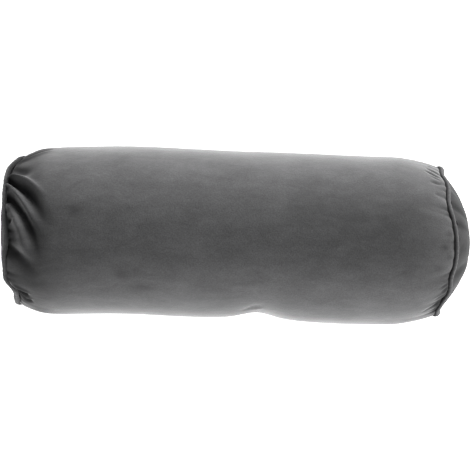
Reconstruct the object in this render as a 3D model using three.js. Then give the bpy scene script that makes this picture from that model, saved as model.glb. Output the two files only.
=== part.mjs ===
// Neck roll pillow in short-pile velvet: a filled barrel whose cloth is drawn in and gathered at both
// ends to a piped seam, round a domed end panel. It lies on its side, as on a table.
// Millimetres. X runs along the roll, Y across it and Z up. The origin is on the surface that the roll
// lies on, under the middle of its outline.
// Angles go round the roll in degrees: 0 is its far side (+Y), 90 its top and 180 its near side (-Y).
import * as THREE from "three";

// Driving dimensions of the roll as it is sewn and filled, before it is laid down
const BARREL_RADIUS = 90.6;
const SEAM_RADIUS = 80; // where the barrel cloth meets the end seams
const END_X = { left: -227.8, right: 219.5 }; // where the two end seams lie along the roll
const SHOULDER_LENGTH = 52; // over which the cloth is drawn in to a seam
const SHOULDER_CURVE = 1.7; // 1 would be a straight cone
const PIPING_DIAMETER = 5;
const PIPING_RADIUS = 78; // from the roll's axis to the middle of the piping
const PANEL_THICKNESS = 2;
const PANEL_CROWN = { left: 15, right: 29 }; // how far the filling domes each end panel
const DOME_CURVE = 2.3; // 2 would be a parabola, and more is flatter in the middle
const GAP = 0.4; // between pieces, along the roll
const PANEL_RADIUS = PIPING_RADIUS - PIPING_DIAMETER / 2 - GAP;

// How the filled roll settles on the surface
const AXIS_HEIGHT = 80;
const HEIGHT_SHARE = 0.965; // its height as a share of its width
const CONTACT_ROUNDING = 4; // blend from the flat underside to the round sides

// Faces: round the roll, and across a panel
const FACES_ROUND = 84;
const PIPING_FACES = 8;
const PANEL_RINGS = 5;
const FINE_STEP = 5; // spacing of the barrel's rings near a seam, and the widest in its middle
const WIDE_STEP = 21;
const FINE_REACH = 45;

// The roll isn't straight: its axis stands off to one side in soft bends. The whole of it is moved over
// so that its outline has its middle at the origin.
const OUTLINE_SHIFT = { x: -2.9, y: -0.9 };
const BENDS = [
  { x: -110, spread: 70, aside: 3.4 },
  { x: 12, spread: 65, aside: 2.2 },
  { x: 160, spread: 55, aside: -1 },
  { x: 252, spread: 10, aside: -3.4 },
];

// Dents and swells of the filling: place, spread along the roll and round it, and height
const SWELLS = [
  { x: 26, angle: 184, along: 22, round: 40, height: -6.8 },
  { x: 10, angle: 5, along: 45, round: 35, height: -1.4 },
  { x: 105, angle: 175, along: 50, round: 45, height: 1.4 },
  { x: -60, angle: 190, along: 60, round: 50, height: 0.8 },
  { x: -140, angle: 250, along: 45, round: 40, height: -1.2 },
  { x: 80, angle: 310, along: 50, round: 40, height: -1.5 },
  { x: -209, angle: 4, along: 12, round: 24, height: 2.2 },
  { x: -206, angle: 176, along: 17, round: 20, height: 1.8 },
];

// Folds in the barrel cloth, from one place to another. bow is how many degrees the middle of the fold
// stands off the straight line, width its half width, and height is positive for a ridge.
const FOLDS = [
  { x: -220, angle: 36, toX: -192, toAngle: 17, bow: 2, width: 4.5, height: 2 },
  { x: -223, angle: 41, toX: -202, toAngle: 50, bow: 0, width: 5, height: -2.4 },
  { x: -227, angle: 47, toX: -195, toAngle: 66, bow: -2, width: 4.5, height: 2.2 },
  { x: -227, angle: 51, toX: -190, toAngle: 83, bow: -4, width: 6.5, height: -8 },
  { x: -228, angle: 55, toX: -199, toAngle: 88, bow: -2, width: 4.5, height: 3.4 },
  { x: -228, angle: 65, toX: -198, toAngle: 103, bow: -5, width: 6, height: -7 },
  { x: -227, angle: 70, toX: -205, toAngle: 101, bow: -3, width: 7, height: 3 },
  { x: -228, angle: 102, toX: -199, toAngle: 117, bow: -2, width: 7.5, height: -4 },
  { x: -226, angle: 130, toX: -209, toAngle: 137, bow: 0, width: 4.5, height: 1.8 },
  { x: -224, angle: 136, toX: -211, toAngle: 142, bow: 0, width: 5, height: -3.6 },
  { x: 10, angle: 152, toX: 33, toAngle: 136, bow: 0, width: 5, height: -2 },
];

// Where an end seam wanders off its circle along the roll: positive is outwards, spread is in degrees
const SEAM_WANDER = {
  left: [
    { angle: 39, out: 4.2, spread: 14 },
    { angle: 58, out: 2, spread: 14 },
    { angle: 95, out: -3, spread: 14 },
    { angle: 128, out: 1.2, spread: 8 },
    { angle: 143.5, out: -5.2, spread: 8.5 },
    { angle: 157, out: -2.6, spread: 9 },
    { angle: 300, out: 2, spread: 25 },
  ],
  right: [
    { angle: 30, out: -4.4, spread: 12 },
    { angle: 60, out: -4.9, spread: 14 },
    { angle: 98, out: 1.9, spread: 15 },
    { angle: 117, out: -1.2, spread: 6 },
    { angle: 131, out: 1, spread: 6 },
    { angle: 146, out: -3.2, spread: 12.5 },
    { angle: 158, out: -2.2, spread: 8 },
    { angle: 250, out: -2, spread: 22 },
  ],
};
const WANDER_REACH = 26; // how far along the roll the cloth follows its seam

// Puckers of a panel beside its piping: angle, half width in degrees, and how deep it is
const PANEL_PUCKERS = {
  left: [
    { angle: 60, round: 10, depth: 1 },
    { angle: 140, round: 12, depth: 1.2 },
    { angle: 260, round: 12, depth: 1 },
  ],
  right: [
    { angle: 58, round: 8, depth: 1.2 },
    { angle: 78, round: 8, depth: 1.2 },
    { angle: 120, round: 9, depth: 1.2 },
    { angle: 200, round: 11, depth: 1.2 },
    { angle: 305, round: 12, depth: 1.2 },
  ],
};
const PUCKER_RADIUS = 56; // a pucker is deepest here
const PUCKER_WIDTH = 14;

// Small gathers round both end seams, spaced unevenly
const GATHERS = { left: 20, right: 28 };
const GATHER_WIDTH = 3.2; // half width in degrees
const GATHER_DEPTH = 1.5;
const GATHER_REACH = 16;

const radians = (degrees) => (degrees * Math.PI) / 180;
const degrees = (angle) => (angle * 180) / Math.PI;
const bell = (offset, spread) => Math.exp(-((offset / spread) ** 2));
// The shortest way round from one angle to another, from -180 to 180 degrees
const turn = (to, from) => ((((to - from + 180) % 360) + 360) % 360) - 180;
// The same uneven number from 0 to 1 each time for each whole number
const uneven = (n) => 0.5 + 0.5 * Math.sin(2.4 * n + 1.9 * Math.sin(1.7 * n));

// How far inside an end seam a place on the barrel is
function fromSeam(end, x) {
  return end === "left" ? x - END_X.left : END_X.right - x;
}

// The filled barrel's radius along its length: full in the middle, drawn in over each shoulder
function barrelRadius(x) {
  const drawnIn = ["left", "right"].map((end) => {
    const share = Math.max(0, 1 - fromSeam(end, x) / SHOULDER_LENGTH);
    return (BARREL_RADIUS - SEAM_RADIUS) * share ** SHOULDER_CURVE;
  });
  return BARREL_RADIUS - drawnIn[0] - drawnIn[1];
}

// Height of a fold at a place on the barrel: a bell across it, from its nearest point, fading at both ends
function foldHeight(fold, x, angle) {
  const steps = 14;
  let nearest = Infinity;
  let share = 0;
  for (let i = 0; i <= steps; i++) {
    const t = i / steps;
    const bowed = 4 * t * (1 - t) * fold.bow;
    const along = THREE.MathUtils.lerp(fold.x, fold.toX, t) - x;
    const round = THREE.MathUtils.lerp(fold.angle, fold.toAngle, t) + bowed;
    const distance = Math.hypot(along, radians(turn(round, angle)) * BARREL_RADIUS);
    if (distance < nearest) {
      nearest = distance;
      share = t;
    }
  }
  const fade = 0.45 + 0.55 * Math.sin(Math.PI * Math.sqrt(1 - share));
  return fold.height * fade * bell(nearest, fold.width);
}

// Height of the gathers that run in from a seam
function gatherHeight(end, x, angle) {
  const inside = fromSeam(end, x);
  let height = 0;
  for (let i = 0; i < GATHERS[end]; i++) {
    const at = ((i + 0.6 * uneven(i)) * 360) / GATHERS[end];
    const reach = GATHER_REACH * (0.5 + uneven(i + 40));
    const depth = GATHER_DEPTH * (0.4 + 0.6 * uneven(i + 80));
    height -= depth * bell(turn(at, angle), GATHER_WIDTH) * Math.exp(-inside / reach);
  }
  return height;
}

// Everything that lifts or sinks the barrel cloth off its round form
function barrelRelief(x, angle) {
  let height = gatherHeight("left", x, angle) + gatherHeight("right", x, angle);
  for (const fold of FOLDS) height += foldHeight(fold, x, angle);
  for (const swell of SWELLS) {
    const round = bell(turn(angle, swell.angle), swell.round);
    height += swell.height * bell(x - swell.x, swell.along) * round;
  }
  return height;
}

// How far the dome of an end stands out of its seam's plane, at a radius and an angle
function domeHeight(end, radius, angle) {
  const share = Math.min(1, radius / PANEL_RADIUS);
  const inward = bell(radius - PUCKER_RADIUS, PUCKER_WIDTH);
  let height = PANEL_CROWN[end] * (1 - share ** DOME_CURVE);
  for (const pucker of PANEL_PUCKERS[end]) {
    height -= pucker.depth * bell(turn(angle, pucker.angle), pucker.round) * inward;
  }
  return height * (share < 1 ? 1 : 0);
}

// Shift of everything near a seam that wanders, fading towards the roll's axis and its middle
function wander(x, radius, angle) {
  let shift = 0;
  for (const end of ["left", "right"]) {
    const near = bell(fromSeam(end, x), WANDER_REACH) * Math.min(1, radius / SEAM_RADIUS) ** 2;
    for (const row of SEAM_WANDER[end]) {
      shift += Math.sign(END_X[end]) * row.out * near * bell(turn(angle, row.angle), row.spread);
    }
  }
  return shift;
}

// A height over the surface, held at 0 underneath and rounded where the sides leave the surface
function rested(z) {
  const overlap = Math.max(0, CONTACT_ROUNDING - Math.abs(z));
  return Math.max(0, z) + (overlap * overlap) / (4 * CONTACT_ROUNDING);
}

// Where a point of the round, straight roll comes to lie once the seams wander, the roll bends and it rests
function laidDown(x, radius, angle) {
  let aside = OUTLINE_SHIFT.y;
  for (const bend of BENDS) aside += bend.aside * bell(x - bend.x, bend.spread);
  return new THREE.Vector3(
    x + wander(x, radius, angle) + OUTLINE_SHIFT.x,
    aside + radius * Math.cos(radians(angle)),
    rested(AXIS_HEIGHT + HEIGHT_SHARE * radius * Math.sin(radians(angle))),
  );
}

// Moves each point of a geometry that is round about X to where it lies. reform gives the point's new
// place along the roll and from its axis, from its old ones and its angle.
function settle(geometry, reform) {
  const points = geometry.getAttribute("position");
  for (let i = 0; i < points.count; i++) {
    const [y, z] = [points.getY(i), points.getZ(i)];
    const angle = degrees(Math.atan2(z, y));
    const [x, radius] = reform(points.getX(i), Math.hypot(y, z), angle);
    points.setXYZ(i, ...laidDown(x, radius, angle).toArray());
  }
  return geometry;
}

// A solid turned about X from its outline, a list of [x, radius] that starts and ends on the axis
function turned(outline) {
  const points = outline.map(([x, radius]) => new THREE.Vector2(radius, x));
  return new THREE.LatheGeometry(points, FACES_ROUND).rotateZ(-Math.PI / 2);
}

// Radii of the rings of points over an end dome, closer together towards its rim
function domeRadii() {
  const radii = [];
  for (let i = 1; i < PANEL_RINGS; i++) {
    radii.push(PANEL_RADIUS * Math.sin((i / PANEL_RINGS) * 0.5 * Math.PI));
  }
  return radii;
}

// Places of the barrel's rings along the roll: fine steps near the seams and wider ones between
function barrelRings() {
  const rings = [];
  for (let x = END_X.left; x < END_X.left + FINE_REACH; x += FINE_STEP) rings.push(x);
  const [from, to] = [END_X.left + FINE_REACH, END_X.right - FINE_REACH];
  const steps = Math.ceil((to - from) / WIDE_STEP);
  for (let i = 0; i <= steps; i++) rings.push(THREE.MathUtils.lerp(from, to, i / steps));
  for (let x = END_X.right - FINE_REACH + FINE_STEP; x < END_X.right; x += FINE_STEP) rings.push(x);
  return [...rings, END_X.right];
}

// The barrel cloth with its filling, whose domed ends lie behind the end panels
function filledBarrel() {
  const radii = domeRadii();
  const outline = [[END_X.left, 0]];
  for (const radius of radii) outline.push([END_X.left, radius]);
  outline.push([END_X.left, PANEL_RADIUS]);
  for (const x of barrelRings()) outline.push([x, barrelRadius(x)]);
  outline.push([END_X.right, PANEL_RADIUS]);
  for (const radius of radii.reverse()) outline.push([END_X.right, radius]);
  outline.push([END_X.right, 0]);
  return settle(turned(outline), (x, radius, angle) => {
    if (radius > PANEL_RADIUS + GAP) {
      return [x, Math.max(radius + barrelRelief(x, angle), PANEL_RADIUS + 1)];
    }
    const end = x < 0 ? "left" : "right";
    return [x + Math.sign(x) * domeHeight(end, radius, angle), radius];
  });
}

// A disc of cloth stretched over the dome of one end
function endPanel(end) {
  const out = Math.sign(END_X[end]);
  const [inner, outer] = [END_X[end] + out * GAP, END_X[end] + out * (GAP + PANEL_THICKNESS)];
  const radii = [...domeRadii(), PANEL_RADIUS];
  const outline = [[inner, 0]];
  for (const radius of radii) outline.push([inner, radius]);
  for (const radius of radii.reverse()) outline.push([outer, radius]);
  outline.push([outer, 0]);
  if (out < 0) outline.reverse();
  return settle(turned(outline), (x, radius, angle) => [x + out * domeHeight(end, radius, angle), radius]);
}

// The covered cord that stands round one end seam
function piping(end) {
  const half = PIPING_DIAMETER / 2;
  const ring = new THREE.TorusGeometry(PIPING_RADIUS, half, PIPING_FACES, FACES_ROUND).rotateY(Math.PI / 2);
  const middle = END_X[end] + Math.sign(END_X[end]) * (GAP + half);
  return settle(ring, (x, radius) => [x + middle, radius]);
}

const velvet = new THREE.MeshStandardMaterial({ color: 0x55555a, roughness: 0.9, metalness: 0 });
const velvetPanel = new THREE.MeshStandardMaterial({ color: 0x5a5a5e, roughness: 0.9, metalness: 0 });
const velvetPiping = new THREE.MeshStandardMaterial({ color: 0x5f5f63, roughness: 0.85, metalness: 0 });

function sewn(name, geometry, material) {
  const mesh = new THREE.Mesh(geometry, material);
  mesh.name = name;
  return mesh;
}

const neckRoll = new THREE.Group();
neckRoll.add(sewn("filled_barrel", filledBarrel(), velvet));
for (const end of ["left", "right"]) {
  neckRoll.add(sewn(`end_panel_${end}`, endPanel(end), velvetPanel));
  neckRoll.add(sewn(`piping_${end}`, piping(end), velvetPiping));
}

export default neckRoll;
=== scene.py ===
"""Neck roll pillow in short-pile charcoal velvet, lying on a pale floor and seen from straight above.

Metres. X runs along the roll, Y across it and Z up, as in the frame. Angles go round the roll in
degrees: 0 is its far side (+Y), 90 its top and 180 its near side (-Y).
Each piece is worked out on the round, straight roll as it was sewn, and then laid down: its seams
wander, its axis bends a little and its underside rests flat on the floor.
"""
import math
from collections import namedtuple

import bpy
import numpy as np
from bpy.props import FloatProperty, FloatVectorProperty, PointerProperty
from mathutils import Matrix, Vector


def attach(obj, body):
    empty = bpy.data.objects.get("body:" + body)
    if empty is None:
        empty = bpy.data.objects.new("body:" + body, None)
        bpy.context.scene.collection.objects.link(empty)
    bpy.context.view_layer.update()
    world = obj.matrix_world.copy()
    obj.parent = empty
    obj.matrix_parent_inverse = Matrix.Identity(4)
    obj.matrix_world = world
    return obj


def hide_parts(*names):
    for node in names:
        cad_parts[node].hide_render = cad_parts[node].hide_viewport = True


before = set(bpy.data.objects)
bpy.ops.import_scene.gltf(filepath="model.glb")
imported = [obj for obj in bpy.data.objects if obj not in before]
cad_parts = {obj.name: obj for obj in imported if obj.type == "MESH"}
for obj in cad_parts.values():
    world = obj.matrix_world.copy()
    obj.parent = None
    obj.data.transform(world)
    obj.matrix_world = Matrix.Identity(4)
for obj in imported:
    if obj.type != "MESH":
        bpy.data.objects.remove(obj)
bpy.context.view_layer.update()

bl_info = {
    "name": "Velvet neck roll",
    "version": (1, 0, 0),
    "blender": (4, 5, 0),
    "location": "View3D > Sidebar > Neck roll",
    "description": "Builds a piped velvet neck roll around its packed frame",
    "category": "Add Mesh",
}

ENDS = ("left", "right")
SIDE = {"left": -1.0, "right": 1.0}

# The roll as it is sewn and filled, in the solids' own sizes but for END_X: here each piping is half
# sunk into its seam, and in the solids it stands beside it
END_X = {"left": -0.2300, "right": 0.2183}
SHOULDER_CURVE = 1.7
PIPING_RADIUS = 0.078  # from the roll's axis to the middle of the piping
GAP = 0.0004
AXIS_HEIGHT = 0.080
HEIGHT_SHARE = 0.965
CONTACT_ROUNDING = 0.004

# The roll's axis stands off to one side in soft bends. The whole of it is moved over so that its outline
# has its middle at the origin.
OUTLINE_SHIFT = (-0.0029, -0.0009)
Bend = namedtuple("Bend", "x spread aside")
BENDS = (
    Bend(-0.110, 0.070, 0.0034),
    Bend(0.012, 0.065, 0.0022),
    Bend(0.160, 0.055, -0.0010),
    Bend(0.252, 0.010, -0.0034),
)

# Dents and swells of the filling: place, spread along the roll and round it, and height
Swell = namedtuple("Swell", "x angle along round height")
SWELLS = (
    Swell(0.026, 184, 0.022, 40, -0.0068),
    Swell(0.010, 5, 0.045, 35, -0.0014),
    Swell(0.105, 175, 0.050, 45, 0.0014),
    Swell(-0.060, 190, 0.060, 50, 0.0008),
    Swell(-0.140, 250, 0.045, 40, -0.0012),
    Swell(0.080, 310, 0.050, 40, -0.0015),
    Swell(-0.209, 4, 0.012, 24, 0.0022),
    Swell(-0.206, 176, 0.017, 20, 0.0018),
)

# Folds in the barrel cloth, from one place to another. bow is how many degrees the middle stands off
# the straight line, width and to_width are half widths at both ends, edge is how sharp its profile is
# (1 a crease, 2 a round bell) and height is positive for a ridge.
Fold = namedtuple("Fold", "x angle to_x to_angle bow width to_width edge height")
FOLDS = (
    Fold(-0.2275, 47.5, -0.1880, 69.0, -3.0, 0.0019, 0.0028, 1.6, 0.0050),
    Fold(-0.2280, 51.0, -0.1825, 91.0, -5.4, 0.0024, 0.0072, 1.9, -0.0106),
    Fold(-0.2285, 55.0, -0.1960, 88.5, -2.6, 0.0022, 0.0033, 1.8, 0.0048),
    Fold(-0.2295, 66.5, -0.1890, 113.0, -9.0, 0.0036, 0.0074, 1.8, -0.0094),
    Fold(-0.2265, 71.5, -0.2045, 109.0, -3.0, 0.0046, 0.0062, 2.0, 0.0048),
    Fold(-0.2250, 83, -0.2220, 85, 0, 0.0040, 0.0040, 2.0, -0.0030),
    Fold(-0.2285, 101.0, -0.1950, 121.5, -1.8, 0.0045, 0.0088, 2.0, -0.0048),
    Fold(-0.2270, 105.5, -0.2170, 118, 0, 0.0042, 0.0060, 2.0, 0.0012),
    Fold(-0.2240, 133.6, -0.2080, 139.6, -1.2, 0.0015, 0.0020, 1.5, 0.0026),
    Fold(-0.2245, 135.8, -0.2115, 140.8, 0.9, 0.0022, 0.0026, 1.6, -0.0044),
    Fold(-0.2240, 139.0, -0.2090, 145.2, 1.6, 0.0016, 0.0022, 1.5, 0.0030),
    Fold(-0.2260, 141.8, -0.2090, 150.2, 0.3, 0.0022, 0.0034, 1.6, -0.0042),
    Fold(-0.2270, 142, -0.2266, 162, 0, 0.0018, 0.0018, 1.6, -0.0034),
    Fold(-0.2230, 41, -0.2050, 51, 0, 0.0030, 0.0050, 1.8, -0.0026),
    Fold(-0.2225, 34, -0.1930, 18, 1, 0.0020, 0.0030, 1.5, 0.0026),
    Fold(-0.2240, 31, -0.1920, 11, 1.5, 0.0035, 0.0055, 1.8, -0.0030),
    Fold(-0.2272, 16, -0.2272, 54, 0, 0.0027, 0.0027, 1.6, -0.0050),
    Fold(0.2060, 22.0, 0.2010, 20.5, 0, 0.0014, 0.0012, 1.6, -0.0009),
    Fold(0.2135, 31.0, 0.1980, 27.5, 0, 0.0018, 0.0013, 1.6, -0.0016),
    Fold(0.2107, 37.3, 0.1945, 32.5, 0, 0.0018, 0.0015, 1.6, -0.0016),
    Fold(0.2095, 40.6, 0.1995, 39.0, 0, 0.0014, 0.0014, 1.6, -0.0008),
    Fold(0.2090, 45.3, 0.1965, 45.0, 0, 0.0022, 0.0018, 1.7, -0.0010),
    Fold(0.2080, 56.1, 0.2020, 56.0, 0, 0.0020, 0.0018, 1.7, -0.0006),
    Fold(0.2150, 122.0, 0.2060, 124.5, 0, 0.0018, 0.0014, 1.6, -0.0011),
    Fold(0.2150, 125.2, 0.2085, 128.2, 0, 0.0014, 0.0014, 1.6, -0.0010),
    Fold(0.2160, 127.4, 0.2020, 134.6, 0, 0.0014, 0.0018, 1.6, 0.0012),
    Fold(0.2110, 130.5, 0.2040, 136.0, 0, 0.0014, 0.0016, 1.6, -0.0009),
    Fold(0.2120, 141.4, 0.1970, 149.5, 0, 0.0016, 0.0018, 1.6, -0.0014),
    Fold(0.0120, 155, 0.0270, 144, 0, 0.0026, 0.0032, 1.6, -0.0012),
    Fold(0.0200, 155, 0.0310, 149, 0, 0.0022, 0.0030, 1.8, 0.0010),
    Fold(-0.1650, 64, -0.1500, 56, 0, 0.0012, 0.0012, 1.5, -0.0005),
)
FOLD_PARTS = 12  # straight parts that a fold's bowed line is made of
FOLD_FADE = (0.55, 0.45)  # share of its height at its start, and how much more in its middle
FOLD_RISE = 0.7  # below 1, the highest place lies nearer the start
FOLD_END = 5  # the larger, the later it fades at its far end
# Painted shade in a fold's valley is full where its depth over its half width reaches this
FULL_SHADE_SLOPE = 1.5  # depth for each half width at which a valley is quite dark

# Marks painted on the pile: place, spread along the roll and in degrees round it, and how much darker it
# looks there, or lighter where it is below 0. A few small ones are brushed nap; most are painted shade in
# the crevices beside the pipings and over the left shoulder, which faces away from the lights, and those
# below 0 are painted light
Mark = namedtuple("Mark", "x angle along round dark")
SHADE_LIGHT_AND_NAP_MARKS = (
    Mark(-0.203, 8, 0.020, 24, 0.48),
    Mark(-0.206, 168, 0.020, 24, 0.60),
    Mark(-0.205, 45, 0.010, 8, 0.30),
    Mark(-0.217, 28, 0.014, 18, 0.50),
    Mark(-0.228, 36, 0.007, 16, 1.10),
    Mark(-0.216, 86, 0.007, 14, -0.25),
    Mark(-0.222, 56, 0.008, 5, -0.20),
    Mark(-0.214, 45, 0.007, 5, 0.30),
    Mark(-0.199, 54, 0.006, 4, 0.25),
    Mark(-0.200, 78, 0.040, 65, 0.22),
    Mark(-0.204, 126, 0.024, 20, 0.50),
    Mark(-0.150, 120, 0.055, 18, 0.16),
    Mark(-0.2185, 150, 0.0090, 5, 0.50),
    Mark(-0.035, 62, 0.080, 22, -0.26),
    Mark(0.112, 74, 0.080, 28, 0.24),
    Mark(0.175, 88, 0.030, 22, 0.16),
    Mark(0.208, 68, 0.014, 16, -0.22),
    Mark(0.213, 100, 0.010, 22, -0.12),
    Mark(-0.226, 90, 0.008, 60, 0.45),
    Mark(-0.213, 174, 0.014, 11, 0.24),
    Mark(0.2160, 144, 0.0066, 20, 1.20),
    Mark(0.2116, 84.6, 0.0032, 2.2, 0.46),
    Mark(0.2060, 94.0, 0.0036, 2.0, 0.40),
    Mark(0.2115, 101.2, 0.0032, 1.8, 0.42),
    Mark(0.2024, 108.4, 0.0052, 2.6, 0.34),
    Mark(-0.158, 78, 0.007, 4, 0.40),
    Mark(-0.103, 77, 0.006, 3, 0.30),
    Mark(-0.111, 120, 0.008, 4, 0.30),
    Mark(-0.091, 129, 0.012, 3, 0.30),
)

# Where an end seam wanders off its circle along the roll: positive is outwards, spread is in degrees
Wander = namedtuple("Wander", "angle out spread")
SEAM_WANDER = {
    "left": (
        Wander(39, 0.0042, 14), Wander(58, 0.0020, 14), Wander(95, -0.0030, 14), Wander(128, 0.0012, 8),
        Wander(143.5, -0.0052, 8.5), Wander(157, -0.0026, 9), Wander(300, 0.0020, 25),
    ),
    "right": (
        Wander(30, -0.0044, 12), Wander(60, -0.0049, 14), Wander(98, 0.0019, 15), Wander(117, -0.0012, 6),
        Wander(131, 0.0010, 6), Wander(146, -0.0032, 12.5), Wander(158, -0.0022, 8),
        Wander(250, -0.0020, 22),
    ),
}
WANDER_REACH = 0.026  # how far along the roll the cloth follows its seam

# Where a piping is slack and stands fuller: share added to its thickness, spread in degrees, and how much
# shade is painted on its pile there, or painted light where it is below 0
Slack = namedtuple("Slack", "angle fuller spread dark")
SLACKS = {
    "left": (Slack(152, 0.00, 14, -0.60), Slack(163, 0.30, 12, 0.0), Slack(22, 0.15, 10, 0.0),
             Slack(285, 0.15, 14, 0.0)),
    "right": (Slack(8, 0.35, 14, 0.0), Slack(174, 0.50, 12, 0.0), Slack(240, 0.20, 16, 0.0)),
}

# Puckers of a panel beside its piping: angle, half width in degrees, how far in from the rim it is
# deepest, and how deep
Pucker = namedtuple("Pucker", "angle round inset depth")
PUCKERS = {
    "left": (
        Pucker(20, 6, 0.010, 0.0012), Pucker(47, 5, 0.008, 0.0016), Pucker(60, 8, 0.014, 0.0012),
        Pucker(84, 5, 0.009, 0.0014), Pucker(112, 6, 0.010, 0.0012), Pucker(140, 8, 0.014, 0.0018),
        Pucker(171, 6, 0.010, 0.0014), Pucker(203, 5, 0.009, 0.0016), Pucker(232, 6, 0.009, 0.0012),
        Pucker(260, 9, 0.014, 0.0014), Pucker(290, 5, 0.009, 0.0014), Pucker(326, 6, 0.010, 0.0014),
    ),
    "right": (
        Pucker(14, 6, 0.010, 0.0012), Pucker(38, 5, 0.009, 0.0016), Pucker(60, 4, 0.007, 0.0022),
        Pucker(76, 4, 0.007, 0.0023), Pucker(97, 5, 0.009, 0.0012), Pucker(118, 6, 0.012, 0.0020),
        Pucker(147, 5, 0.009, 0.0014), Pucker(176, 6, 0.010, 0.0014), Pucker(200, 8, 0.013, 0.0016),
        Pucker(236, 5, 0.009, 0.0014), Pucker(268, 6, 0.010, 0.0012), Pucker(305, 9, 0.014, 0.0016),
        Pucker(338, 5, 0.009, 0.0014),
    ),
}

# End panels: how far a rim is tucked under its piping and how steeply it turns in there, and how much
# shade is painted round a panel's top
DOME_CURVE = 2.3  # 2 would be a parabola, and more is flatter in the middle
PANEL_THICKNESS = 0.002
PANEL_TUCK = 0.0022
TUCK_SLOPE = 0.6
PANEL_SHADE = {"left": 0.0, "right": 0.4}
PANEL_SHADE_ANGLE = 88
PANEL_SHADE_SPREAD = 34
# Painted shade in the puckers, full at the depth below
PUCKER_SHADE = 0.7
PUCKER_SHADE_DEPTH = 0.0028  # at which a pucker is as dark as it gets

# Pipings: where the lumps start, how many of each wave go round, and how much they stand out
PIPING_PHASE = {"left": 40, "right": 90}
PIPING_WAVES = (17, 23, 31, 43)
PIPING_LUMPS = 0.07  # share of its thickness
PIPING_SWAY = 0.0004
WRINKLES = 92
WRINKLE_HEIGHT = 0.00012
# Painted shade on the pipings: darkest on the side towards the barrel, which shades it
PIPING_SHADE = (0.3, 1.2)  # how dark it is on top, and how much darker towards the barrel

# Small gathers round an end seam, spaced unevenly
GATHERS = {"left": 34, "right": 46}
GATHER_WIDTH = 1.9  # half width in degrees
GATHER_DEPTH = 0.0026
GATHER_DEPTHS = (0.35, 0.65)  # share of that depth in the shallowest, and how much more in the deepest
GATHER_REACH = 0.013
GATHER_SCATTER = 0.6  # of the space between two, how far one may stand off its place
GATHER_LEAN = 6.0  # degrees between those that lean most, where they are twice as wide as at the seam
GATHER_SPREAD = 0.02  # how far inside the seam that is
GATHER_EDGE = 1.4  # how sharp its profile is, as for a fold
LEAN_SEED, REACH_SEED, DEPTH_SEED = 20, 40, 80  # so that its lean, reach and depth vary on their own
GROOVE_DEPTH = 0.0040  # of the ditch beside the piping, where the cloth turns in to the seam
GROOVE_REACH = 0.0022
# How far the painted shade reaches out of the ditch beside each piping
GROOVE_SHADE_REACH = 0.0009
# Painted shade in the valleys of folds and the troughs of gathers
FOLD_SHADE = 0.86  # how dark the deepest valleys are
GATHER_SHADE = 0.6

# How the cloth settles: share of spare cloth at a seam and how far inside it that falls off, the
# filling's pressure, the number of frames and the furthest that a point may move
SPARE_CLOTH = 0.10
SPARE_REACH = 0.018
SETTLE_PRESSURE = 3.0
SETTLE_FRAMES = 16
SETTLE_LIMIT = 0.006

# Velvet: shares of the pile's colour where its nap is dark, where it is light, and in the dark copy
# that paints shade into creases and stands for pressed pile
NAP_TONES = (0.4, 1.6)
SHADE_AND_PRESSED_TONE = 0.3
PRESSED_START = 0.12  # how much of the pile is pressed where nothing shades it
NAP_PRESSED = 0.6  # how much less of it is, for each unit that the nap is lighter
PILE_HEIGHT = 0.6  # of the tufts in the relief
STROKE_HEIGHT = 1.4  # of the finger marks in the relief

# Grids of points: rows along the roll and columns round it. The cloth settles on every second one.
BARREL_ROWS = 173
COLUMNS = 512
ROW_CROWDING = 0.70  # how far the rows draw together towards the seams
CAP_RINGS = 7  # of the barrel's cover behind a panel
CAP_INNERMOST = 0.14  # place of the innermost on a scale from 0 in the middle to 1 at the rim
DOME_RINGS = 28
DOME_INNERMOST = 0.02
PANEL_COLUMNS = 288
PIPING_POINTS = 20
PIPING_STEPS = 720
FLOOR_POINTS = 9

# Half the floor's width, and how far under the roll it lies
FLOOR_REACH = 1.1
FLOOR_DROP = 0.0002

# Soft light boxes round the floor: name, place, width, height and share of the light's power
SOFTBOXES = (
    ("far_softbox", (0.38, 1.2, 0.42), 1.8, 0.5, 67.0),
    ("near_softbox", (0.60, -1.2, 0.36), 1.8, 0.5, 60.0),
    ("left_softbox", (-1.30, -0.10, 0.22), 0.8, 0.4, 9.0),
    ("top_softbox", (0.10, 0.1, 1.50), 0.9, 0.9, 6.0),
)
LIGHT_AIM = Vector((0, 0, AXIS_HEIGHT))
CAMERA_ASIDE = -0.0001


def bell(offset, spread):
    """1 at an offset of 0, falling off as a Gauss bell whose half width is the spread."""
    return np.exp(-((offset / spread) ** 2))


def turn(to, start):
    """The shortest way round from one angle to another, from -180 to 180 degrees."""
    return (to - start + 180.0) % 360.0 - 180.0


def uneven(n):
    """The same uneven number from 0 to 1 each time for each whole number."""
    n = np.asarray(n, float)
    return 0.5 + 0.5 * np.sin(2.4 * n + 1.9 * np.sin(1.7 * n))


def from_seam(end, x):
    """How far inside an end seam a place on the barrel is."""
    return x - END_X["left"] if end == "left" else END_X["right"] - x


def dome_rim():
    """Radius at which an end panel stops beside its piping."""
    sizes = bpy.context.scene.neck_roll_sizes
    return PIPING_RADIUS - sizes.piping_diameter / 2 - GAP


def barrel_radius(x):
    """Radius of the filled barrel: full in the middle, less a power curve over each shoulder."""
    sizes = bpy.context.scene.neck_roll_sizes
    radius = np.full_like(x, sizes.barrel_radius)
    for end in ENDS:
        share = np.clip(1 - from_seam(end, x) / sizes.shoulder_length, 0, None)
        radius -= (sizes.barrel_radius - sizes.seam_radius) * share ** SHOULDER_CURVE
    return radius


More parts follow.
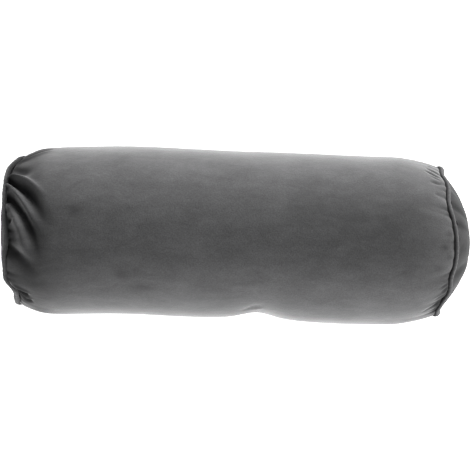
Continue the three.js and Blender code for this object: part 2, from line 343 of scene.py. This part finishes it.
def fold_heights(x, angle, radius):
    """Sum of the folds: for each, a profile of the distance from its bowed line, made of straight parts,
    that fades at both of its ends. Also the shade painted into the valleys."""
    height = np.zeros_like(x)
    shade = np.zeros_like(x)
    least, more = FOLD_FADE
    t = np.linspace(0, 1, FOLD_PARTS + 1)
    for fold in FOLDS:
        nearest = np.full_like(x, np.inf)
        share = np.zeros_like(x)
        line_x = fold.x + (fold.to_x - fold.x) * t
        line_angle = fold.angle + (fold.to_angle - fold.angle) * t + 4 * t * (1 - t) * fold.bow
        for i in range(FOLD_PARTS):
            along = x - line_x[i]
            around = np.radians(turn(angle, line_angle[i])) * radius
            run = line_x[i + 1] - line_x[i]
            rise = np.radians(line_angle[i + 1] - line_angle[i]) * radius
            part = np.clip((along * run + around * rise) / (run ** 2 + rise ** 2), 0, 1)
            distance = np.hypot(along - part * run, around - part * rise)
            closer = distance < nearest
            nearest = np.where(closer, distance, nearest)
            share = np.where(closer, (i + part) / FOLD_PARTS, share)
        width = fold.width + (fold.to_width - fold.width) * share
        fade = (least + more * np.sin(np.pi * share ** FOLD_RISE)) * (1 - share ** FOLD_END)
        profile = fade * np.exp(-((nearest / width) ** fold.edge))
        height += fold.height * profile
        if fold.height < 0:
            steepness = np.minimum(1.0, -fold.height / width / FULL_SHADE_SLOPE)
            shade = np.maximum(shade, profile * steepness)
    return height, shade


def gather_heights(x, angle):
    """Sum of the gathers: narrow troughs that run in from a seam and die out, each its own length."""
    height = np.zeros_like(x)
    least, more = GATHER_DEPTHS
    for end in ENDS:
        inside = from_seam(end, x)
        for i in range(GATHERS[end]):
            at = (i + GATHER_SCATTER * uneven(i)) * 360 / GATHERS[end]
            lean = GATHER_LEAN * (uneven(i + LEAN_SEED) - 0.5) * inside / GATHER_SPREAD
            reach = GATHER_REACH * (0.5 + uneven(i + REACH_SEED))
            depth = GATHER_DEPTH * (least + more * uneven(i + DEPTH_SEED))
            across = np.abs(turn(at + lean, angle)) / (GATHER_WIDTH * (1 + inside / GATHER_SPREAD))
            height -= depth * np.exp(-across ** GATHER_EDGE) * np.exp(-inside / reach)
    return height


def swell_heights(x, angle):
    """Sum of the dents and swells of the filling, each a bell along and round the roll."""
    height = np.zeros_like(x)
    for swell in SWELLS:
        lengthwise = bell(x - swell.x, swell.along)
        height += swell.height * lengthwise * bell(turn(angle, swell.angle), swell.round)
    return height


def marks(x, angle):
    """Sum of the marks, painted shade, painted light and brushed nap, each a bell along and round the
    roll.
    """
    dark = np.zeros_like(x)
    for mark in SHADE_LIGHT_AND_NAP_MARKS:
        dark += mark.dark * bell(x - mark.x, mark.along) * bell(turn(angle, mark.angle), mark.round)
    return dark


def near_seams(x, reach):
    """1 at each end seam, falling off exponentially inside it."""
    return sum(np.exp(-from_seam(end, x) / reach) for end in ENDS)


def dome_height(end, radius, angle, puckered=True):
    """How far an end dome stands out of its seam's plane: a flattened crown less its puckers."""
    sizes = bpy.context.scene.neck_roll_sizes
    crown = sizes.left_crown if end == "left" else sizes.right_crown
    share = np.clip(radius / dome_rim(), 0, 1)
    height = crown * (1 - share ** DOME_CURVE)
    if puckered:
        for pucker in PUCKERS[end]:
            inset = dome_rim() - radius
            profile = inset / pucker.inset * np.exp(1 - inset / pucker.inset)
            height = height - pucker.depth * profile * bell(turn(angle, pucker.angle), pucker.round)
    return height


def lay_down(x, radius, angle):
    """Where a point of the round, straight roll lies: seams wander, the axis bends, and heights under
    the floor are held at 0 with a rounded edge."""
    shift = np.zeros_like(x)
    for end in ENDS:
        near = bell(from_seam(end, x), WANDER_REACH)
        near = near * np.clip(radius / bpy.context.scene.neck_roll_sizes.seam_radius, 0, 1) ** 2
        for row in SEAM_WANDER[end]:
            shift += SIDE[end] * row.out * near * bell(turn(angle, row.angle), row.spread)
    aside = OUTLINE_SHIFT[1] + sum(bend.aside * bell(x - bend.x, bend.spread) for bend in BENDS)
    z = AXIS_HEIGHT + HEIGHT_SHARE * radius * np.sin(np.radians(angle))
    overlap = np.clip(CONTACT_ROUNDING - np.abs(z), 0, None)
    z = np.clip(z, 0, None) + overlap ** 2 / (4 * CONTACT_ROUNDING)
    return np.stack([x + shift + OUTLINE_SHIFT[0], aside + radius * np.cos(np.radians(angle)), z], axis=-1)


def wrapped_faces(rows, columns):
    """Quads of a grid whose last column joins its first."""
    i, j = np.meshgrid(np.arange(rows - 1), np.arange(columns), indexing="ij")
    k = (j + 1) % columns
    row, below = i * columns, (i + 1) * columns
    return np.stack([row + j, row + k, below + k, below + j], axis=-1).reshape(-1, 4)


def fan_faces(pole, ring, columns, outwards):
    """Triangles from a ring of points to one pole."""
    j = np.arange(columns)
    k = (j + 1) % columns
    fan = np.stack([np.full(columns, pole), ring + k, ring + j], axis=-1)
    return fan if outwards else fan[:, ::-1]


def new_piece(name, points, faces, finish, crease):
    """A smooth mesh object of points and faces, with its finish, slot, body and the crease attribute of
    its painted shade.
    """
    mesh = bpy.data.meshes.new(name)
    mesh.from_pydata(points.reshape(-1, 3).tolist(), [], faces)
    attribute = mesh.attributes.new("crease", "FLOAT", "POINT")
    attribute.data.foreach_set("value", np.ascontiguousarray(crease, np.float32).ravel())
    mesh.shade_smooth()
    mesh.update()
    piece = bpy.data.objects.new(name, mesh)
    bpy.context.scene.collection.objects.link(piece)
    mesh.materials.append(finish)
    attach(piece, "root")
    return piece


def settle_cloth(points, rest, pinned, faces, pressure, frames, limit):
    """Blender's Cloth on a copy of a grid, filled with air and held at its pinned points. Returns the
    points after the last frame, moved by no more than the limit."""
    scene = bpy.context.scene
    mesh = bpy.data.meshes.new("settling_cloth")
    mesh.from_pydata(points.reshape(-1, 3).tolist(), [], faces.tolist())
    cloth_object = bpy.data.objects.new("settling_cloth", mesh)
    scene.collection.objects.link(cloth_object)
    cloth_object.shape_key_add(name="Basis")
    key = cloth_object.shape_key_add(name="cut")
    key.data.foreach_set("co", rest.astype(np.float32).ravel())
    group = cloth_object.vertex_groups.new(name="held")
    group.add([int(i) for i in np.flatnonzero(pinned)], 1.0, "REPLACE")
    cloth = cloth_object.modifiers.new("Cloth", "CLOTH")
    settings = cloth.settings
    settings.rest_shape_key = key
    settings.vertex_group_mass = "held"
    settings.quality = 8
    settings.mass = 0.15
    settings.tension_stiffness = 25
    settings.compression_stiffness = 25
    settings.shear_stiffness = 8
    settings.bending_stiffness = 0.4
    settings.tension_damping = 8
    settings.compression_damping = 8
    settings.shear_damping = 8
    settings.bending_damping = 0.6
    settings.use_pressure = True
    settings.uniform_pressure_force = pressure
    settings.effector_weights.gravity = 0
    cloth.collision_settings.use_collision = False
    cloth.collision_settings.use_self_collision = False
    for number in range(1, frames + 1):
        scene.frame_set(number)
    evaluated = cloth_object.evaluated_get(bpy.context.evaluated_depsgraph_get())
    settled = np.empty(points.size, np.float32)
    evaluated.data.vertices.foreach_get("co", settled)
    settled = settled.reshape(points.shape).astype(float)
    bpy.data.objects.remove(cloth_object)
    bpy.data.meshes.remove(mesh)
    scene.frame_set(1)
    moved = settled - points
    length = np.linalg.norm(moved, axis=-1, keepdims=True)
    return points + moved * np.minimum(1, limit / np.maximum(length, 1e-9))


def refine(values):
    """Twice as fine a grid from one that wraps round: cubic weights along the rows, and a Fourier series
    round the columns."""
    rows, columns = values.shape[:2]
    spectrum = np.fft.rfft(values, axis=1)
    fine = np.fft.irfft(spectrum, n=2 * columns, axis=1) * 2
    padded = np.concatenate([2 * fine[:1] - fine[1:2], fine, 2 * fine[-1:] - fine[-2:-1]])
    middle = (-padded[:-3] + 9 * padded[1:-2] + 9 * padded[2:-1] - padded[3:]) / 16
    result = np.empty((2 * rows - 1, 2 * columns) + values.shape[2:])
    result[0::2] = fine
    result[1::2] = middle
    return result


class Socket:
    """An output of a material's node. Its operators add Math nodes, with numbers or other outputs."""

    def __init__(self, finish, socket):
        self.finish = finish
        self.socket = socket

    def _math(self, operation, first, second):
        return self.finish.node("ShaderNodeMath", {"operation": operation}, {0: first, 1: second})

    def __add__(self, other):
        return self._math("ADD", self, other)

    def __sub__(self, other):
        return self._math("SUBTRACT", self, other)

    def __rsub__(self, other):
        return self._math("SUBTRACT", other, self)

    def __mul__(self, other):
        return self._math("MULTIPLY", self, other)

    __radd__ = __add__
    __rmul__ = __mul__


class Finish:
    """A material that is built node by node."""

    def __init__(self, name):
        self.material = bpy.data.materials.new(name)
        self.material.use_nodes = True
        self.tree = self.material.node_tree
        self.tree.nodes.clear()

    def node(self, kind, settings=None, inputs=None, output=0):
        """Adds a node: its settings first, then the values or links of its sockets. Returns an output."""
        made = self.tree.nodes.new(kind)
        for name, value in (settings or {}).items():
            setattr(made, name, value)
        for name, value in (inputs or {}).items():
            if isinstance(value, Socket):
                self.tree.links.new(value.socket, made.inputs[name])
            else:
                made.inputs[name].default_value = value
        return Socket(self, made.outputs[output]) if len(made.outputs) else made


def velvet(name, tone, shine):
    """Short-pile velvet: brushed patches and finger marks in the nap, a fine pile that stands in
    relief, a pale sheen at grazing angles, and shade painted into its creases by a dark copy without
    sheen."""
    look = bpy.context.scene.neck_roll_velvet
    finish = Finish(name)
    place = finish.node("ShaderNodeTexCoord", output="Object")
    patches = finish.node("ShaderNodeTexNoise", None, {
        "Vector": place, "Scale": 13.0, "Detail": 4.0, "Roughness": 0.55, "Distortion": 0.6})
    stretched = finish.node("ShaderNodeMapping", None, {"Vector": place, "Scale": (0.5, 1.0, 1.0)})
    strokes = finish.node("ShaderNodeTexNoise", None, {
        "Vector": stretched, "Scale": 70.0, "Detail": 5.0, "Roughness": 0.7, "Distortion": 0.3})
    pile = finish.node("ShaderNodeTexNoise", None, {
        "Vector": place, "Scale": 1 / look.pile_size, "Detail": 2.0, "Roughness": 0.6})
    nap = (patches - 0.5) * look.patch_strength + (strokes - 0.5) * look.stroke_strength
    shade = nap + (pile - 0.5) * look.pile_strength + 0.5
    dark, light = (tuple(tone * share * c for c in look.pile_colour) + (1.0,) for share in NAP_TONES)
    colour = finish.node("ShaderNodeMix", {"data_type": "RGBA", "clamp_factor": True},
                         {0: shade, 6: dark, 7: light}, output=2)
    relief = pile * PILE_HEIGHT + strokes * STROKE_HEIGHT
    normal = finish.node("ShaderNodeBump", None, {
        "Strength": 0.5, "Distance": look.pile_relief, "Height": relief})
    shader = finish.node("ShaderNodeBsdfPrincipled", None, {
        "Base Color": colour,
        "Normal": normal,
        "Roughness": 0.92,
        "Specular IOR Level": 0.15,
        "Sheen Weight": look.sheen * shine,
        "Sheen Roughness": look.sheen_roughness,
        "Sheen Tint": (*look.sheen_colour, 1.0),
    })
    # Painted shade: a dark copy of the pile without sheen, mixed in deep in folds and wherever the
    # crease attribute paints shade, and also where the nap is brushed down and pressed
    pressed_pile_and_shade = finish.node("ShaderNodeBsdfPrincipled", None, {
        "Base Color": tuple(SHADE_AND_PRESSED_TONE * c for c in look.pile_colour) + (1.0,),
        "Normal": normal,
        "Roughness": 0.95,
        "Specular IOR Level": 0.05,
    })
    # The crease attribute holds painted shade, painted light below 0, and a few brushed nap marks
    crease = finish.node("ShaderNodeAttribute", {"attribute_name": "crease"}, output="Fac")
    # Share of the dark copy: the painted shade of the crease attribute, plus pressed pile that varies with
    # the nap
    lying = finish.node("ShaderNodeClamp", None, {
        "Value": crease * look.crease_shade_strength + PRESSED_START - nap * NAP_PRESSED})
    shader = finish.node("ShaderNodeMixShader", None, {"Fac": lying, 1: shader, 2: pressed_pile_and_shade})
    finish.node("ShaderNodeOutputMaterial", None, {"Surface": shader})
    return finish.material


def barrel_rows():
    """Places of the barrel's rows along the roll, drawn together towards both seams by a sine."""
    middle = (END_X["left"] + END_X["right"]) / 2
    half = (END_X["right"] - END_X["left"]) / 2
    u = np.linspace(-1, 1, BARREL_ROWS)
    return middle + half * ((1 - ROW_CROWDING) * u + ROW_CROWDING * np.sin(0.5 * np.pi * u))


def straight_points(x, radius, angle):
    """Points of the straight roll, about its axis, from their cylinder coordinates."""
    return np.stack([x, radius * np.cos(np.radians(angle)), radius * np.sin(np.radians(angle))], axis=-1)


def settle_barrel(x, radius, angle):
    """Lets the filled cloth settle between its two seams. The cloth is cut wider than the seams take, so
    it bunches beside them. Returns the new places of the grid, as cylinder coordinates."""
    coarse = (slice(None, None, 2), slice(None, None, 2))
    x, radius, angle = x[coarse], radius[coarse], angle[coarse]
    points = straight_points(x, radius, angle)
    spare = 1 + SPARE_CLOTH * near_seams(x, SPARE_REACH)
    rest = straight_points(x, radius * spare, angle)
    pinned = np.zeros(x.shape, bool)
    pinned[[0, -1]] = True
    faces = wrapped_faces(*x.shape)
    settled = settle_cloth(points, rest, pinned.ravel(), faces, SETTLE_PRESSURE, SETTLE_FRAMES,
                           SETTLE_LIMIT)
    shift = settled - points
    outward = np.stack([np.zeros_like(x), np.cos(np.radians(angle)), np.sin(np.radians(angle))], axis=-1)
    sideways = np.stack([np.zeros_like(x), -np.sin(np.radians(angle)), np.cos(np.radians(angle))], axis=-1)
    parts = [shift[..., 0], (shift * outward).sum(-1), (shift * sideways).sum(-1)]
    return [refine(part) for part in parts]


def dome_tip(end):
    """Where the middle of an end dome lies."""
    middle = np.zeros(1)
    return lay_down(END_X[end] + SIDE[end] * dome_height(end, middle, middle), middle, middle)[0]


class NECKROLL_OT_barrel(bpy.types.Operator):
    """Make the filled barrel: velvet drawn in and gathered to both end seams"""
    bl_idname = "neck_roll.barrel"
    bl_label = "Barrel cover"

    def execute(self, context):
        rows = barrel_rows()
        angles = np.arange(COLUMNS) * 360 / COLUMNS
        x, angle = np.meshgrid(rows, angles, indexing="ij")
        radius = barrel_radius(x)
        folds, fold_shade = fold_heights(x, angle, radius)
        gathers = gather_heights(x, angle)
        radius = radius + folds + swell_heights(x, angle) + gathers
        along, out, around = settle_barrel(x, radius, angle)
        x = x + along
        angle = angle + np.degrees(around / radius)
        radius = radius + out
        radius = radius - GROOVE_DEPTH * near_seams(x, GROOVE_REACH)
        # Painted shade in the valleys of folds and gathers
        crease = fold_shade * FOLD_SHADE + np.clip(-gathers / GATHER_DEPTH, 0, 1) * GATHER_SHADE
        # Painted shade in the ditch beside each piping
        crease += near_seams(x, GROOVE_SHADE_REACH)
        # Painted shade and light, and some brushed nap
        crease += marks(x, angle)
        crease = np.clip(crease, 0, 1)
        caps = {}
        rim = dome_rim()
        for end in ENDS:
            rings = rim * np.sin(np.linspace(1, CAP_INNERMOST, CAP_RINGS) * 0.5 * np.pi)
            ring_radius, ring_angle = np.meshgrid(rings, angles, indexing="ij")
            ring_x = END_X[end] + SIDE[end] * dome_height(end, ring_radius, ring_angle)
            caps[end] = lay_down(ring_x, ring_radius, ring_angle)
        grid = np.concatenate([caps["left"][::-1], lay_down(x, radius, angle), caps["right"]])
        shade = np.pad(crease, ((CAP_RINGS, CAP_RINGS), (0, 0)))
        count = len(grid)
        points = np.concatenate([grid.reshape(-1, 3), [dome_tip(end) for end in ENDS]])
        shade = np.concatenate([shade.ravel(), [0, 0]])
        faces = wrapped_faces(count, COLUMNS).tolist()
        faces += fan_faces(count * COLUMNS, 0, COLUMNS, True).tolist()
        faces += fan_faces(count * COLUMNS + 1, (count - 1) * COLUMNS, COLUMNS, False).tolist()
        finish = velvet("barrel_velvet_finish", tone=1.0, shine=1.0)
        piece = new_piece("barrel_cover", points, faces, finish, shade)
        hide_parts("filled_barrel")
        return {"FINISHED"}


class NECKROLL_OT_panels(bpy.types.Operator):
    """Make both end panels: discs of velvet stretched over the filling and puckered by their seams"""
    bl_idname = "neck_roll.panels"
    bl_label = "End panels"

    def execute(self, context):
        angles = np.arange(PANEL_COLUMNS) * 360 / PANEL_COLUMNS
        # Painted shade: the barrel's velvet at half its tone and with little sheen, so the panels, which
        # face the lights, stay dark
        finish = velvet("panel_velvet_shaded_copy", tone=0.5, shine=0.10)
        rim = dome_rim() + PANEL_TUCK
        outer = GAP + PANEL_THICKNESS
        for end in ENDS:
            rings = rim * np.sin(np.linspace(DOME_INNERMOST, 1, DOME_RINGS) * 0.5 * np.pi)
            radius, angle = np.meshgrid(rings, angles, indexing="ij")
            height = dome_height(end, radius, angle) + outer
            beyond = np.clip(radius - dome_rim(), 0, None)
            height -= beyond * TUCK_SLOPE
            x = END_X[end] + SIDE[end] * height
            grid = lay_down(x, radius, angle)
            pole = grid[0].mean(0)
            points = np.concatenate([grid.reshape(-1, 3), [pole]])
            faces = wrapped_faces(DOME_RINGS, PANEL_COLUMNS)
            fan = fan_faces(DOME_RINGS * PANEL_COLUMNS, 0, PANEL_COLUMNS, True)
            if end == "right":
                faces, fan = faces[:, ::-1], fan[:, ::-1]
            plain = dome_height(end, radius, angle, False) + outer
            # Painted shade in the puckers and round the panel's top
            crease = np.clip((plain - height) / PUCKER_SHADE_DEPTH, 0, 1) * PUCKER_SHADE
            crease += PANEL_SHADE[end] * bell(turn(angle, PANEL_SHADE_ANGLE), PANEL_SHADE_SPREAD)
            crease = np.concatenate([crease.ravel(), [0]])
            piece = new_piece(f"panel_cloth_{end}", points, faces.tolist() + fan.tolist(), finish,
                              crease)
            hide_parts(f"end_panel_{end}")
        return {"FINISHED"}


class NECKROLL_OT_piping(bpy.types.Operator):
    """Make both pipings: a cord wrapped in velvet that stands round each end seam"""
    bl_idname = "neck_roll.piping"
    bl_label = "Piping"

    def execute(self, context):
        sizes = context.scene.neck_roll_sizes
        # Painted light: the velvet a little lighter and with little sheen, so the piping looks evenly lit
        finish = velvet("piping_velvet_lit_copy", tone=1.15, shine=0.12)
        half = sizes.piping_diameter / 2
        top_shade, barrel_shade = PIPING_SHADE
        around = np.arange(PIPING_STEPS) * 360 / PIPING_STEPS
        section = np.arange(PIPING_POINTS) * 360 / PIPING_POINTS
        angle, turned = np.meshgrid(around, section, indexing="ij")
        for end in ENDS:
            phase = PIPING_PHASE[end]
            lumps = sum(uneven(k + phase) * np.sin(np.radians(angle * k) + 6.3 * uneven(3 * k + phase))
                        for k in PIPING_WAVES) / len(PIPING_WAVES)
            wrinkles = np.sin(np.radians(angle * WRINKLES) + np.radians(turned) + 2 * lumps)
            slack = sum(row.fuller * bell(turn(angle, row.angle), row.spread) for row in SLACKS[end])
            thick = half * (1 + PIPING_LUMPS * lumps + slack) + WRINKLE_HEIGHT * wrinkles
            radius = PIPING_RADIUS + PIPING_SWAY * lumps + thick * np.cos(np.radians(turned))
            x = END_X[end] + SIDE[end] * thick * np.sin(np.radians(turned))
            # Painted shade towards the barrel, plus painted shade and light at the slack places
            crease = np.clip(top_shade - barrel_shade * np.sin(np.radians(turned)), 0, 1)
            crease += sum(row.dark * bell(turn(angle, row.angle), row.spread) for row in SLACKS[end])
            grid = lay_down(x, radius, angle)
            faces = wrapped_faces(PIPING_STEPS, PIPING_POINTS)
            last = (PIPING_STEPS - 1) * PIPING_POINTS
            j = np.arange(PIPING_POINTS)
            k = (j + 1) % PIPING_POINTS
            closing = np.stack([last + j, last + k, k, j], axis=-1)
            faces = np.concatenate([faces, closing])
            if end == "right":
                faces = faces[:, ::-1]
            piece = new_piece(f"welt_{end}", grid, faces.tolist(), finish, crease)
            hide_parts(f"piping_{end}")
        return {"FINISHED"}


class NECKROLL_OT_stage(bpy.types.Operator):
    """Make the pale floor, the soft studio lights and the camera straight above the roll"""
    bl_idname = "neck_roll.stage"
    bl_label = "Floor, lights and camera"

    def execute(self, context):
        look = context.scene.neck_roll_stage
        scene = context.scene
        edge = np.linspace(-FLOOR_REACH, FLOOR_REACH, FLOOR_POINTS)
        u, v = np.meshgrid(edge, edge, indexing="ij")
        points = np.stack([u, v, np.full_like(u, -FLOOR_DROP)], axis=-1)
        i, j = np.meshgrid(np.arange(FLOOR_POINTS - 1), np.arange(FLOOR_POINTS - 1), indexing="ij")
        row, below = i * FLOOR_POINTS, (i + 1) * FLOOR_POINTS
        faces = np.stack([row + j, below + j, below + j + 1, row + j + 1], axis=-1).reshape(-1, 4)
        mesh = bpy.data.meshes.new("floor")
        mesh.from_pydata(points.reshape(-1, 3).tolist(), [], faces.tolist())
        floor = bpy.data.objects.new("floor", mesh)
        scene.collection.objects.link(floor)
        paper = Finish("floor_paper")
        shader = paper.node("ShaderNodeBsdfPrincipled", None, {
            "Base Color": (*(look.floor_tone,) * 3, 1.0), "Roughness": 0.9, "Specular IOR Level": 0.1,
            "Emission Color": (1.0, 1.0, 1.0, 1.0), "Emission Strength": look.floor_glow})
        paper.node("ShaderNodeOutputMaterial", None, {"Surface": shader})
        mesh.materials.append(paper.material)

        for name, place, width, height, power in SOFTBOXES:
            lamp = bpy.data.lights.new(name, "AREA")
            lamp.shape = "RECTANGLE"
            lamp.size = width
            lamp.size_y = height
            lamp.energy = power * look.light_power
            light = bpy.data.objects.new(name, lamp)
            light.location = place
            light.rotation_euler = (LIGHT_AIM - Vector(place)).to_track_quat("-Z", "Y").to_euler()
            scene.collection.objects.link(light)

        world = bpy.data.worlds.new("soft_daylight")
        world.use_nodes = True
        background = world.node_tree.nodes["Background"]
        path = world.node_tree.nodes.new("ShaderNodeLightPath")
        seen = world.node_tree.nodes.new("ShaderNodeMapRange")
        seen.inputs["To Min"].default_value = look.ambience
        seen.inputs["To Max"].default_value = 1.0
        world.node_tree.links.new(path.outputs["Is Camera Ray"], seen.inputs["Value"])
        world.node_tree.links.new(seen.outputs["Result"], background.inputs["Strength"])
        background.inputs["Color"].default_value = (1, 1, 1, 1)
        scene.world = world

        lens = bpy.data.cameras.new("camera")
        lens.lens = look.lens
        lens.sensor_width = 36
        camera = bpy.data.objects.new("camera", lens)
        camera.location = (OUTLINE_SHIFT[0], CAMERA_ASIDE, AXIS_HEIGHT + look.camera_distance)
        camera.rotation_euler = (0, 0, look.camera_roll)
        scene.collection.objects.link(camera)
        scene.camera = camera
        scene.view_settings.view_transform = "Standard"
        return {"FINISHED"}


class NeckRollSizes(bpy.types.PropertyGroup):
    """Sizes of the roll as it is sewn and filled"""
    barrel_radius: FloatProperty(name="Barrel radius", description="Radius of the filled barrel",
                                 default=0.0906, min=0.05, max=0.15, unit="LENGTH")
    seam_radius: FloatProperty(name="Seam radius", description="Radius of the two end seams",
                               default=0.080, min=0.04, max=0.14, unit="LENGTH")
    shoulder_length: FloatProperty(name="Shoulder", description="Length over which the cloth is drawn in",
                                   default=0.052, min=0.01, max=0.12, unit="LENGTH")
    piping_diameter: FloatProperty(name="Piping", description="Diameter of the covered cord",
                                   default=0.005, min=0.003, max=0.012, unit="LENGTH")
    left_crown: FloatProperty(name="Left crown", description="How far the filling domes the left panel",
                              default=0.0150, min=0.0, max=0.05, unit="LENGTH")
    right_crown: FloatProperty(name="Right crown", description="How far the filling domes the right panel",
                               default=0.0302, min=0.0, max=0.05, unit="LENGTH")


class NeckRollVelvet(bpy.types.PropertyGroup):
    """Colour and pile of the velvet"""
    pile_colour: FloatVectorProperty(name="Pile colour", description="Colour of the pile seen from above",
                                     default=(0.050, 0.050, 0.051), min=0, max=1, subtype="COLOR")
    sheen_colour: FloatVectorProperty(name="Sheen colour", description="Colour of the sheen",
                                      default=(0.85, 0.85, 0.85), min=0, max=1, subtype="COLOR")
    sheen: FloatProperty(name="Sheen", description="Strength of the sheen at grazing angles",
                         default=0.8, min=0, max=1, subtype="FACTOR")
    sheen_roughness: FloatProperty(name="Sheen roughness", description="How widely the sheen spreads",
                                   default=0.4, min=0, max=1, subtype="FACTOR")
    pile_size: FloatProperty(name="Pile size", description="Size of the tufts of pile",
                             default=0.0013, min=0.0001, max=0.01, unit="LENGTH")
    pile_relief: FloatProperty(name="Pile relief", description="Height of the tufts",
                               default=0.0004, min=0, max=0.01, unit="LENGTH")
    pile_strength: FloatProperty(name="Pile contrast", description="How much the tufts differ in tone",
                                 default=0.8, min=0, max=2, subtype="FACTOR")
    patch_strength: FloatProperty(name="Brushed patches", description="Contrast of the brushed patches",
                                  default=0.20, min=0, max=2, subtype="FACTOR")
    stroke_strength: FloatProperty(name="Finger marks", description="Contrast of the small finger marks",
                                   default=0.52, min=0, max=2, subtype="FACTOR")
    # How strong the shade painted into creases is
    crease_shade_strength: FloatProperty(name="Crease depth", description="How dark the pile is in a crease",
                                   default=0.82, min=0, max=1, subtype="FACTOR")


class NeckRollStage(bpy.types.PropertyGroup):
    """Floor, light and camera"""
    floor_tone: FloatProperty(name="Floor tone", description="How pale the floor is",
                              default=0.88, min=0, max=1, subtype="FACTOR")
    floor_glow: FloatProperty(name="Floor glow", description="Light from under the floor",
                              default=0.45, min=0, max=5)
    light_power: FloatProperty(name="Light", description="Power of all the light boxes",
                               default=1.0, min=0, max=50)
    ambience: FloatProperty(name="Ambience", description="Brightness of the surroundings",
                            default=0.10, min=0, max=5)
    lens: FloatProperty(name="Lens", description="Focal length on a sensor 36 mm wide",
                        default=60.2, min=10, max=300)
    camera_distance: FloatProperty(name="Camera height", description="From the roll's axis to the camera",
                                   default=0.855, min=0.3, max=5, unit="LENGTH")
    camera_roll: FloatProperty(name="Camera turn", description="How far the picture is turned",
                               default=math.radians(1.45), subtype="ANGLE")


class NECKROLL_PT_parts(bpy.types.Panel):
    """Pieces of the neck roll"""
    bl_idname = "NECKROLL_PT_parts"
    bl_label = "Neck roll"
    bl_space_type = "VIEW_3D"
    bl_region_type = "UI"
    bl_category = "Neck roll"

    def draw(self, context):
        for group in ("neck_roll_sizes", "neck_roll_velvet", "neck_roll_stage"):
            box = self.layout.box()
            settings = getattr(context.scene, group)
            for name in settings.bl_rna.properties.keys():
                if name not in ("rna_type", "name"):
                    box.prop(settings, name)
        for operator in OPERATORS:
            self.layout.operator(operator.bl_idname)


OPERATORS = (NECKROLL_OT_barrel, NECKROLL_OT_panels, NECKROLL_OT_piping, NECKROLL_OT_stage)
GROUPS = {
    "neck_roll_sizes": NeckRollSizes,
    "neck_roll_velvet": NeckRollVelvet,
    "neck_roll_stage": NeckRollStage,
}
CLASSES = (*GROUPS.values(), *OPERATORS, NECKROLL_PT_parts)


def register():
    for cls in CLASSES:
        bpy.utils.register_class(cls)
    for name, group in GROUPS.items():
        setattr(bpy.types.Scene, name, PointerProperty(type=group))


def unregister():
    for name in GROUPS:
        delattr(bpy.types.Scene, name)
    for cls in reversed(CLASSES):
        bpy.utils.unregister_class(cls)


def main():
    register()
    bpy.ops.neck_roll.stage()
    bpy.ops.neck_roll.barrel()
    bpy.ops.neck_roll.panels()
    bpy.ops.neck_roll.piping()


if __name__ == "__main__":
    main()
